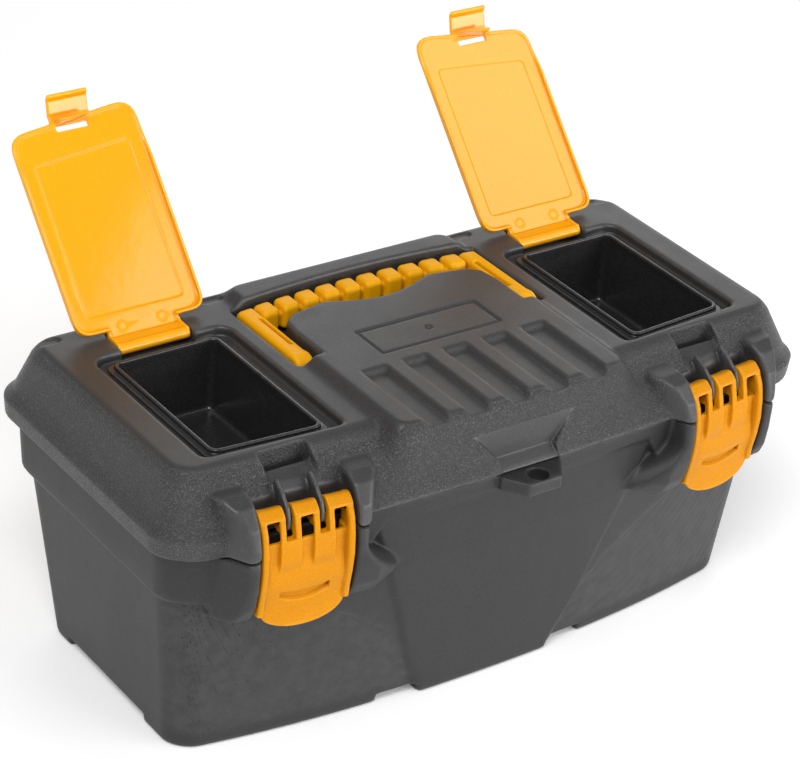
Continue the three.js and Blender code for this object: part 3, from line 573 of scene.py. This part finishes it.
# -------------------------------------------------------------------- handle
def handle_field(G):
    x, y, z = G.x, G.y, G.z
    crown = F4(45.5) + F4(4) * (1 - (x / F4(63)) ** 2)
    yy = y - crown                       # 0 on the back face
    # arms: round pivot end, flat sides
    prof = poly(y - (crown - F4(45.5)) * np.clip(y / F4(45), 0, 1), z,
                soften([(-5.1, 134), (-4.2, 130.4), (-.6, 128.45), (6, 128.4), (43.8, 128.4), (45.5, 130), (45.5, 137.6), (43.3, 139.8), (5, 139.7), (.5, 139.6), (-3.2, 138.2)], 2.2, 5))
    F = smax(prof, slab(x, 54.6, 63), 2.4)
    F = smin(F, smax(rod(y, z, .5, 134, 5.6), slab(x, 54.6, 63), 1.8), 1.)
    # core under the finger blocks
    core = smax(smax(slab(yy, -8.3, -2.2), slab(z, 129.4, 136.8), 2.), x - F4(56), .5)
    F = smin(F, core, .8)
    for k in range(5):
        c = (k + .5) * 11
        w = 4.35
        b = smax(rect2(yy, z, -10.5, 0, 128.4, 139.8, 2.6), slab(x, c - w, c + w), 2.4)
        F = smin(F, b, 1.0)
    # slot between the wide rib and the thin one
    sl = smax(rect2(x, y, 56.2, 58.0, 9.5, 35.4, .85), F4(131.6) - z, .6)
    F = smax(F, -sl, .9)
    F = smax(F, -smax(rod(y, z, .5, 134, 2.35), slab(x, 50, 66), 0), .2)
    return F


# --------------------------------------------------------------------- latch
def latch_field(G):
    x, y, z = G.x, G.y, G.z
    ax = np.abs(x)
    zc = z.ravel().astype(float)
    zf = [71.3, 72.6, 75.6, 79, 82.4, 85.6, 88.8, 92.8, 97, 101, 105.4, 109.4, 113, 116.6, 120, 122.4, 124.2, 125.3]
    rib = [-6.2, -5.7, -4.9, -4.5, -4.5, -4.9, -5.6, -6.4, -7.0, -7.2, -7.1, -6.8, -6.1, -5.4, -4.3, -3.4, -2.0, -.4]
    bk = np.interp(zc, [71, 76, 79, 84.6, 92.8, 101, 109.4, 114.7, 115.6], [-4.4, -3.2, -2.4, -2.0, -2.6, -3.0, -2.8, -2.2, 3]).astype(F4)[None, None, :]
    yr = np.interp(zc, zf, rib).astype(F4)[None, None, :]
    drop = F4(2.3) * step01((z - F4(90)) / 14)
    # the face bulges a little round the slot
    bulge = F4(.5) * np.clip(1 - (ax / 18) ** 2, 0, 1) * step01((z - 75) / 10) * step01((107 - z) / 12)
    face = (yr + drop - bulge) - y
    skin = smax(face, y - bk, .6)
    skin = smax(skin, z - F4(117), .5)
    F = smax(skin, ax - F4(20.6), .6)
    # frames round the three windows, running down into webs under the finger gaps
    top = poly(y, z, soften([(-.4, 125.4), (-3.4, 122.7), (-5.4, 116.7), (-6.8, 109.4), (-7.2, 101), (-6.4, 92.8), (-3.0, 92.8), (-4.2, 101), (-4, 109.4), (-2.4, 114.7), (1, 114.5), (3, 117), (3, 123.6), (1.2, 125.4)], 1.0))
    kn = rod(y, z, 1, 119.6, 5.2)
    ring = smin(top, smax(kn, F4(114) - z, 1), 1)
    lo = step01((z - F4(93)) / 12)
    m1 = slab(ax, 2.8, 5.6)
    m2 = slab(ax, 9.4, 12.1)
    web = smax(slab(ax, 3.0, 12.0), z - F4(112.9), .6)
    fr = smin(smin(m1, m2, .2), web, .4)
    fr = np.maximum(fr, F4(90) - z)
    raise_ = smax(ring + (F4(1) - lo) * F4(2.3), fr, .7)
    F = smin(F, raise_, 1.1)
    bar = np.minimum(ax - F4(5.6), slab(ax, 9.4, 20.7))
    F = smin(F, smax(smax(ring, bar, .9), F4(121.2) - z, .6), .5)
    # thick round edges down both sides
    fr_y = np.interp(zc, [78, 80, 84.6, 92.8, 101, 109.4, 114, 117, 120, 122.6, 125.2], [-6.0, -5.9, -6.3, -7.8, -8.6, -8.1, -7.3, -6.6, -5.2, -3.4, -.8]).astype(F4)[None, None, :]
    bk_y = np.interp(zc, [78, 80, 86.6, 92.8, 111, 117, 123], [1.4, 1.6, 2.3, 2.6, 2.6, 2.9, 3]).astype(F4)[None, None, :]
    edge = smax(smax(smax(fr_y - y, y - bk_y, 1.5), slab(ax, 17.6, 20.8), 1.7), slab(z, 78.4, 125.2), 1.2)
    F = smin(F, edge, .7)
    F = smin(F, smax(rod(y, z, 1, 119.6, 5.0), ax - F4(5.6), .5), .3)
    F = smin(F, smax(rod(y, z, 1, 119.6, 5.0), slab(ax, 9.4, 20.8), .5), .3)
    # round lower lip
    lip = np.hypot(ax / F4(18.6), np.minimum(z - F4(78.9), 0) / F4(7.6)) - 1
    lip = np.where(z < 78.9, lip * F4(7.6), np.maximum(ax - F4(20.8), -3))
    F = smax(F, lip, .4)
    # finger gaps and windows
    gap = smax(np.abs(ax - F4(7.5)) - F4(1.9), F4(112.8) - z, .6)
    F = smax(F, -gap, .6)
    for c in (-14.9, 0, 14.9):
        w = rect2(x - F4(c), z, -2.8, 2.8, 112.3, 121.4, .5)
        F = smax(F, -smax(w, y - F4(9), 0), .4)
        back = rect2(x - F4(c), z, -4.0, 4.0, 111.4, 121.6, .5)
        F = smax(F, -smax(smax(back, yr + F4(1.5) - y, .2), y - F4(9), 0), .3)
    # curved slot with a scooped floor
    u = x / F4(11.2)
    up = F4(89.4) - F4(1.4) * (1 - u * u)
    dn = F4(85.4) - F4(2.9) * (1 - u * u)
    sm = smax(smax(z - up, dn - z, .5), ax - F4(11.2), .9)
    depth = y - (yr + drop - bulge) - F4(1.9) * step01((z - dn) / 1.6)
    F = smax(F, -smax(sm, depth, .3), .3)
    F = smax(F, -smax(rod(y, z, 1, 119.6, 2.15), ax - F4(30), 0), .2)
    return F


# ----------------------------------------------------------------------- bin
def bin_field(G):
    x, y, z = G.x, G.y, G.z

    def shape(o, r):
        o = np.interp(z.ravel(), [103.4, 105.4, 138], o).astype(F4)[None, None, :] if isinstance(o, tuple) else F4(o)
        qx = slab(x, 80.4, 131) + o + F4(r)
        yb = F4(32.8) - o
        yf = F4(-50) + (x - F4(80.4)) * F4(.0692) + o
        qy = np.abs(y - (yb + yf) / 2) - (yb - yf) / 2 + F4(r)
        return np.hypot(np.maximum(qx, 0), np.maximum(qy, 0)) + np.minimum(np.maximum(qx, qy), 0) - F4(r)
    outer = smax(shape((2.6, 1.4, 0.), 4), slab(z, 103.4, 138), 1.0)
    flange = smax(shape(-2.6, 5), slab(z, 134.95, 136.15), .5)
    bead = smax(shape(-.35, 4.4), slab(z, 136.6, 138), .7)
    inner = smax(shape((4.6, 2.9, 1.35), 3.2), F4(104.9) - z, 3.2)
    F = smin(smin(outer, flange, .9), bead, .6)
    return smax(F, -inner, .6)


# ---------------------------------------------------------------------- flap
def flap_field(G):
    x, y, z = G.x, G.y, G.z

    def ring(o, r, yi, yo):
        return poly(x, y, soften([(74.2 + o, 34.6 - o), (74.2 + o, yi + o), (136.2 - o, yo + o), (136.2 - o, 34.6 - o)], r, 5))

    def fit(o, r):
        return ring(o, r, -53, -48.8)
    edge = ring(0, 9, -62.6, -56)
    plate = smax(edge, slab(z, 139.25, 140.95), .6)
    # the locating lip runs out towards the clip, and is open where the tongue leaves
    low = F4(137.6) + F4(1.9) * np.clip((F4(-34) - y) / 14, 0, 1)
    lip = smax(smax(fit(0, 7), -fit(1.2, 6), .3), np.maximum(low - z, z - F4(140.5)), .5)
    lip = smax(lip, -smax(np.abs(x - F4(104.8)) - F4(15.6), F4(30) - y, .4), .5)
    sunk = smin(ring(1.7, 7.4, -62.6, -56), smax(np.abs(x - F4(104.8)) - F4(15.4), np.abs(y - F4(33)) - F4(4.6), .4), 1.)
    pane = smax(fit(7.4, 3), slab(z, 139.25, 141.85), .8)
    F = smin(smin(plate, lip, .35), pane, .7)
    tong = poly(y, z, soften([(28, 139.25), (37.4, 139.25), (42.2, 134.6), (45.4, 138), (43.6, 139.35), (39, 140.95), (28, 140.95)], .7))
    # the tongue meets the plate with hollow corners and has a thin lip down each side
    neck = slab(x, 87.6, 122) - F4(4) * np.clip(1 - (y - F4(30)) / 5, 0, 1) ** 2
    T = smax(smax(tong, neck, .6), y - F4(47), 0)
    sides = smax(smax(tong - F4(.6), np.maximum(F4(15.9) - np.abs(x - F4(104.8)), np.abs(x - F4(104.8)) - F4(17.2)), .3), F4(35.5) - y, .4)
    T = smin(T, sides, .4)
    T = smin(T, smax(rod(y, z, 43.6, 136.4, 2.5), slab(x, 87.6, 122), .6), .7)
    F = smin(F, T, .7)
    hook = poly(y, z, soften([(-52, 139.25), (-52, 140.95), (-62, 140.95), (-68.6, 137), (-69.8, 134.2), (-68, 134.2), (-67, 136.2), (-61, 139.25)], .7))
    F = smin(F, smax(hook, slab(x, 95.6, 115.2), 1.0), .6)
    claw = poly(y, z, [(-57, 139.7), (-57, 134), (-57.8, 133), (-58.8, 134.2), (-58.5, 139.7)])
    F = smin(F, smax(claw, slab(x, 97.8, 113), .4), .3)
    F = smax(F, -smax(sunk, z - F4(139.75), .2), .3)
    F = smax(F, -smax(fit(7.6, 2.6), z - F4(140.3), .2), .35)
    F = smax(F, -smax(smax(slab(y, -56.6, -54.2), slab(x, 97.8, 113), .6), slab(z, 130, 150), 0), .3)
    # two faint ejector marks beside the hinge
    for c in (95.2, 114.6):
        m = np.abs(np.hypot(x - F4(c), y - F4(33.4)) - F4(2.1)) - F4(.3)
        F = smax(F, -np.maximum(m, z - F4(139.95)), .1)
    F = smax(F, -smax(rod(y, z, 43.6, 136.4, 1.55), slab(x, 86, 124), 0), .2)
    return F


# ----------------------------------------------------------------- materials
class Mat:
    """A node material with the few building blocks that every finish here uses."""
    def __init__(self, name):
        self.m = bpy.data.materials.new(name)
        self.m.use_nodes = True
        self.t = self.m.node_tree
        self.t.nodes.clear()
        self.out = self.t.nodes.new("ShaderNodeOutputMaterial")
        self.b = self.t.nodes.new("ShaderNodeBsdfPrincipled")
        self.t.links.new(self.b.outputs[0], self.out.inputs[0])
        self.co = self.t.nodes.new("ShaderNodeTexCoord").outputs["Object"]

    def link(self, a, b):
        self.t.links.new(a, b)

    def noise(self, scale, detail=2., rough=.5, stretch=None):
        n = self.t.nodes.new("ShaderNodeTexNoise")
        n.inputs["Scale"].default_value = scale
        n.inputs["Detail"].default_value = detail
        n.inputs["Roughness"].default_value = rough
        co = self.co
        if stretch:
            mp = self.t.nodes.new("ShaderNodeMapping")
            mp.inputs["Scale"].default_value = stretch
            self.link(co, mp.inputs[0])
            co = mp.outputs[0]
        self.link(co, n.inputs["Vector"])
        return n.outputs["Fac"]

    def cells(self, scale, smooth=.5):
        n = self.t.nodes.new("ShaderNodeTexVoronoi")
        n.feature = "SMOOTH_F1"
        n.inputs["Scale"].default_value = scale
        n.inputs["Smoothness"].default_value = smooth
        self.link(self.co, n.inputs["Vector"])
        return n.outputs["Distance"]

    def attr(self, name):
        n = self.t.nodes.new("ShaderNodeAttribute")
        n.attribute_name = name
        return n.outputs["Fac"]

    def remap(self, v, a, b, c=0., d=1.):
        n = self.t.nodes.new("ShaderNodeMapRange")
        n.inputs["From Min"].default_value = a
        n.inputs["From Max"].default_value = b
        n.inputs["To Min"].default_value = c
        n.inputs["To Max"].default_value = d
        self.link(v, n.inputs["Value"])
        return n.outputs["Result"]

    def math(self, op, a, b):
        n = self.t.nodes.new("ShaderNodeMath")
        n.operation = op
        for i, v in enumerate((a, b)):
            if isinstance(v, (int, float)):
                n.inputs[i].default_value = v
            else:
                self.link(v, n.inputs[i])
        return n.outputs[0]

    def mix(self, fac, a, b, mode="MIX"):
        n = self.t.nodes.new("ShaderNodeMix")
        n.data_type = "RGBA"
        n.blend_type = mode
        n.clamp_factor = True
        for k, v in (("Factor_Float", fac), ("A_Color", a), ("B_Color", b)):
            s = [i for i in n.inputs if i.identifier == k][0]
            if isinstance(v, (tuple, list)):
                s.default_value = (*v, 1.)
            elif isinstance(v, (int, float)):
                s.default_value = v
            else:
                self.link(v, s)
        return [o for o in n.outputs if o.identifier == "Result_Color"][0]

    def bump(self, height, strength, distance, prev=None):
        n = self.t.nodes.new("ShaderNodeBump")
        if isinstance(strength, (int, float)):
            n.inputs["Strength"].default_value = strength
        else:
            self.link(strength, n.inputs["Strength"])
        n.inputs["Distance"].default_value = distance
        self.link(height, n.inputs["Height"])
        if prev is not None:
            self.link(prev, n.inputs["Normal"])
        return n.outputs[0]

    def finish(self, colour, rough, normal=None):
        self.link(colour, self.b.inputs["Base Color"])
        self.link(rough, self.b.inputs["Roughness"])
        if normal is not None:
            self.link(normal, self.b.inputs["Normal"])
        return self.m


def plastic(name, dark, light, edge, r0, r1, grain, stipple=False, spec=.5, peel=0.):
    """Moulded plastic: cloudy tone, fine grain, scuffs, light edges that are partly wear and partly painted highlight,
    painted shade in hollows and corners, and painted shadow where a mask marks deep shadow.
    """
    m = Mat(name)
    cloud = m.noise(16, 4, .55)
    fine = m.noise(1900, 2, .6)
    smear = m.noise(55, 3, .6, (1., 1., .25))
    c = m.mix(m.remap(cloud, .3, .7), dark, light)
    c = m.mix(m.remap(fine, .35, .7, 0, .35), c, edge)
    scuff = m.math("MULTIPLY", m.remap(m.noise(420, 3, .7, (.12, 1., 1.)), .66, .78), m.remap(m.noise(24, 2, .5), .52, .7, 0, .5))
    c = m.mix(scuff, c, edge)
    # lighter convex edges: partly real wear, partly a painted highlight standing in for bright edge reflections
    wear_and_edge_highlight = m.math("MULTIPLY", m.remap(m.attr("convex"), .14, 1.), m.remap(m.noise(180, 3, .6), .35, .65, .35, 1.))
    c = m.mix(m.math("MULTIPLY", wear_and_edge_highlight, .55), c, edge)
    # painted shade: hollows and inside corners, then wider recesses, mixed towards darker tones
    c = m.mix(m.math("MULTIPLY", m.remap(m.attr("hollow"), .14, 1.), .8), c, (dark[0] * .5, dark[1] * .36, dark[2] * .36))
    c = m.mix(m.math("MULTIPLY", m.attr("shade"), .35), c, (dark[0] * .5, dark[1] * .42, dark[2] * .4))
    # painted shadow: the padlock eye and the wall under it turned near black, and made rougher
    c = m.mix(m.math("MULTIPLY", m.attr("painted_shadow"), .93), c, (.002, .002, .002))
    r = m.math("ADD", m.remap(smear, .3, .7, r0, r1), m.math("MULTIPLY", m.attr("painted_shadow"), .4))
    n = m.bump(fine, grain, .00025)
    if stipple:
        st = m.attr("stipple")
        spots = m.cells(1250, .6)
        lumps = m.noise(1500, 3, .7)
        n = m.bump(lumps, m.math("MULTIPLY", st, 1.), .0009, n)
        n = m.bump(spots, m.math("MULTIPLY", st, .5), .0004, n)
        glint = m.math("MULTIPLY", m.remap(lumps, .52, .72), m.math("MULTIPLY", st, .7))
        c = m.mix(glint, c, tuple(min(1., v * 2.1) for v in edge))
        r = m.math("SUBTRACT", r, m.math("MULTIPLY", st, .1))
    if peel:
        n = m.bump(m.noise(240, 1, .4), peel, .0006, n)
    m.b.inputs["Specular IOR Level"].default_value = spec
    m.b.inputs["IOR"].default_value = 1.49
    return m.finish(c, r, n)


M_BASE = plastic("base_plastic", (.0145, .0145, .0148), (.0185, .0185, .0188), (.06, .06, .061), .46, .50, .2, spec=.36)
M_LID = plastic("lid_plastic", (.021, .021, .0214), (.027, .027, .0274), (.10, .10, .101), .38, .46, .2, stipple=True, spec=.5)
M_HANDLE = plastic("handle_plastic", (.80, .345, .001), (.85, .375, .001), (.95, .50, .01), .34, .44, .10, peel=.12, spec=.14)
M_LATCH = plastic("latch_plastic", (.50, .180, .001), (.56, .205, .001), (.85, .38, .005), .34, .44, .10, peel=.12, spec=.14)
M_BIN = plastic("bin_plastic", (.0085, .0085, .009), (.012, .012, .0125), (.05, .05, .05), .2, .3, .06, peel=.22)
M_FLAP = plastic("flap_plastic", (.86, .325, .0), (.90, .345, .0), (1., .48, .01), .06, .09, .02, peel=.03, spec=.4)


def steel():
    m = Mat("pin_steel")
    brushed = m.noise(2600, 3, .6, (.05, 1., 1.))
    c = m.mix(m.remap(brushed, .3, .7), (.028, .028, .03), (.05, .05, .054))
    c = m.mix(m.remap(m.noise(60, 2, .5), .5, .75, 0, .6), c, (.09, .085, .08))
    r = m.remap(m.noise(300, 3, .6), .3, .7, .28, .46)
    m.b.inputs["Metallic"].default_value = .8
    return m.finish(c, r, m.bump(brushed, .3, .0001))


M_PIN = steel()
for name, ob in frame["nodes"].items():
    if "_pin_" in name:
        ob.data.materials.clear()
        ob.data.materials.append(M_PIN)


# ------------------------------------------------------------------ building


def base_extra(v, N):
    """The padlock eye and the wall under it lie in deep shadow; this mask paints that shadow onto them."""
    x, y, z = v[:, 0], v[:, 1], v[:, 2]
    eye = (np.hypot(x, y + 90.8) < 4.75) & (z < 113.3) & (z > 106.6) & (np.abs(N[:, 2]) < .75)
    under = (np.abs(x) < 5.2) & (y > -88) & (y < -82) & (z > 97.5) & (z < 107.4)
    return {"painted_shadow": 1. * (eye | under)}


def lid_extra(v, N):
    """Where the coarse stipple lies: the slopes, the flange and the front of the hood."""
    x, y, z = np.abs(v[:, 0]), v[:, 1], v[:, 2]
    outside = (z > 104.6) & (N[:, 2] > -.35)
    slope = np.clip((.93 - N[:, 2]) / .12, 0, 1)
    s = slope * outside
    c, sn = math.cos(TURN), math.sin(TURN)
    lx, ly = c * (x - 108) + sn * (y + 78.4), -sn * (x - 108) + c * (y + 78.4)
    # cheeks, latch bay, padlock pocket, flutes, pocket, bays and inner faces stay smooth
    horn = (np.abs(lx) < 26.8 + np.clip(ly + 9.6, 0, 11) * .57) & (np.abs(lx) > 21) & (ly < 6.2)
    bay = (np.abs(lx) < 21.8) & (ly < 8.6) & (z < 128.6)
    s = s * (~horn) * (~bay)
    top = (z > 139.2) & (y > -71)
    s = s * (~top)
    inner = (y > -56) & (x < 140) & (z < 139.4)
    s = s * (~inner)
    s = s * (~((x > 94.4) & (x < 116.4) & (y > -86) & (y < -56) & (z < 132.5 + (y + 60) * .372) & (z > 126)))
    s = s * (~((x < 14.6 + np.clip(z - 119, 0, 20) * .92) & (z > 112) & (z < 131.6) & (y > -80.7 - np.clip(119 - z, 0, 9) * 1.56)))
    return {"stipple": s}


def sample(fn, lo, hi, h):
    h = h * COARSE
    G = Grid(lo, hi, h)
    return fn(G), G


F, G = sample(base_field, (0, -99.5, -2), (162, 83.5, 117), .9)
F = mirror(F)
build("base", F, (-G.h * (G.n[0] - 1), G.lo[1], G.lo[2]), G.h, 150000, None, "base", "base_shell", M_BASE, base_extra)
F, G = sample(lid_field, (0, -99.5, 95), (167, 83.5, 145), .7)
F = mirror(F)
build("lid", F, (-G.h * (G.n[0] - 1), G.lo[1], G.lo[2]), G.h, 190000, None, "lid", "lid_shell", M_LID, lid_extra)
F, G = sample(handle_field, (0, -6.6, 127.4), (64.4, 51, 141), .4)
F = mirror(F)
build("handle", F, (-G.h * (G.n[0] - 1), G.lo[1], G.lo[2]), G.h, 80000, None, "handle", "handle", M_HANDLE, reach=1.)
FL, GL = sample(latch_field, (0, -10.2, 69.6), (22.2, 7.4, 126.8), .34)
FL = mirror(FL)
FB, GB = sample(bin_field, (76.4, -54.6, 102.4), (135, 37, 139.4), .5)
FF, GF = sample(flap_field, (73, -71.4, 132.4), (137.6, 47.8, 143), .36)
for s, side in ((-1, "left"), (1, "right")):
    a = s * TURN
    R = np.array([[math.cos(a), -math.sin(a), 0], [math.sin(a), math.cos(a), 0], [0, 0, 1]])
    build("latch_" + side + "_skin", FL, (-GL.h * (GL.n[0] - 1), GL.lo[1], GL.lo[2]), GL.h, 70000,
          (R, np.array([s * 108., -78.4, 0.])), "latch_" + side, "latch_" + side, M_LATCH, reach=.8)
    F, lo = (FB, GB.lo) if s > 0 else (FB[::-1], [-(GB.lo[0] + GB.h * (GB.n[0] - 1)), GB.lo[1], GB.lo[2]])
    build("bin_" + side + "_tub", F, lo, GB.h, 50000, None, "lid", "bin_" + side, M_BIN, reach=.9)
    a = math.radians(-133)
    R = np.array([[1, 0, 0], [0, math.cos(a), -math.sin(a)], [0, math.sin(a), math.cos(a)]])
    c = np.array([0, 43.6, 136.4])
    F, lo = (FF, GF.lo) if s > 0 else (FF[::-1], [-(GF.lo[0] + GF.h * (GF.n[0] - 1)), GF.lo[1], GF.lo[2]])
    build("flap_" + side, F, lo, GF.h, 60000, (R, c - R @ c), "bin_lid_" + side, "bin_lid_" + side, M_FLAP, reach=.8)

# ----------------------------------------------------------------- the stage
scene = bpy.context.scene
floor_mesh = new_mesh("floor", np.array([[-9, -9, 0], [9, -9, 0], [9, 9, 0], [-9, 9, 0]], float), np.array([[0, 1, 2, 3]]))
floor = bpy.data.objects.new("floor", floor_mesh)
scene.collection.objects.link(floor)
fm = Mat("floor_paint")
fc = fm.mix(fm.remap(fm.noise(3, 3, .5), .3, .7), (.90, .90, .90), (.93, .93, .93))
fm.b.inputs["Emission Color"].default_value = (1, 1, 1, 1)
fm.b.inputs["Emission Strength"].default_value = .19
fm.finish(fc, fm.remap(fm.noise(40, 2, .5), .3, .7, .75, .85))
floor_mesh.materials.append(fm.m)


def area(name, loc, target, sx, sy, power, colour=(1, 1, 1)):
    L = bpy.data.lights.new(name, "AREA")
    L.shape = "RECTANGLE"
    L.size, L.size_y, L.energy, L.color = sx, sy, power, colour
    o = bpy.data.objects.new(name, L)
    o.location = loc
    o.rotation_euler = (Vector(target) - Vector(loc)).to_track_quat("-Z", "Y").to_euler()
    scene.collection.objects.link(o)
    return o


world = bpy.data.worlds.new("studio")
scene.world = world
world.use_nodes = True
bg = world.node_tree.nodes["Background"]
bg.inputs[0].default_value = (1, 1, 1, 1)
bg.inputs[1].default_value = .36

area("key", (-1.2, -1.1, 2.1), (0, 0, .1), 1.1, 1.1, 41)
area("softbox", (1.04, -1.75, .50), (0, 0, .13), 1.5, .6, 25)
area("wall", (1.5, 1.9, .95), (0, 0, .1), 2.2, 1.0, 13)
# a small round light that both covers mirror, low down on the left one
dish = area("dish", (1.1325, -.9433, 1.5367), (0, .1, .18), .96, .50, 4.2)
dish.data.shape = "ELLIPSE"

# --------------------------------------------------------------- the camera
YAW, PITCH, ROLL, FOCAL = .647284, .518832, .080964, 2905.142523
CAM = (-663.213912, -869.040556, 735.478743)
d = Vector((math.sin(YAW) * math.cos(PITCH), math.cos(YAW) * math.cos(PITCH), -math.sin(PITCH)))
r = Vector((math.cos(YAW), -math.sin(YAW), 0))
u = r.cross(d)
r2 = math.cos(ROLL) * r + math.sin(ROLL) * u
u2 = -math.sin(ROLL) * r + math.cos(ROLL) * u
cam_data = bpy.data.cameras.new("camera")
cam_data.sensor_width = 36
cam_data.lens = FOCAL * 36 / 800
cam_data.clip_start, cam_data.clip_end = .01, 60
cam = bpy.data.objects.new("camera", cam_data)
M = Matrix(((r2.x, u2.x, -d.x), (r2.y, u2.y, -d.y), (r2.z, u2.z, -d.z))).to_4x4()
M.translation = Vector((CAM[0], CAM[1] - Y0, CAM[2])) / 1000
cam.matrix_world = M
scene.collection.objects.link(cam)
scene.camera = cam
scene.view_settings.view_transform = "Standard"
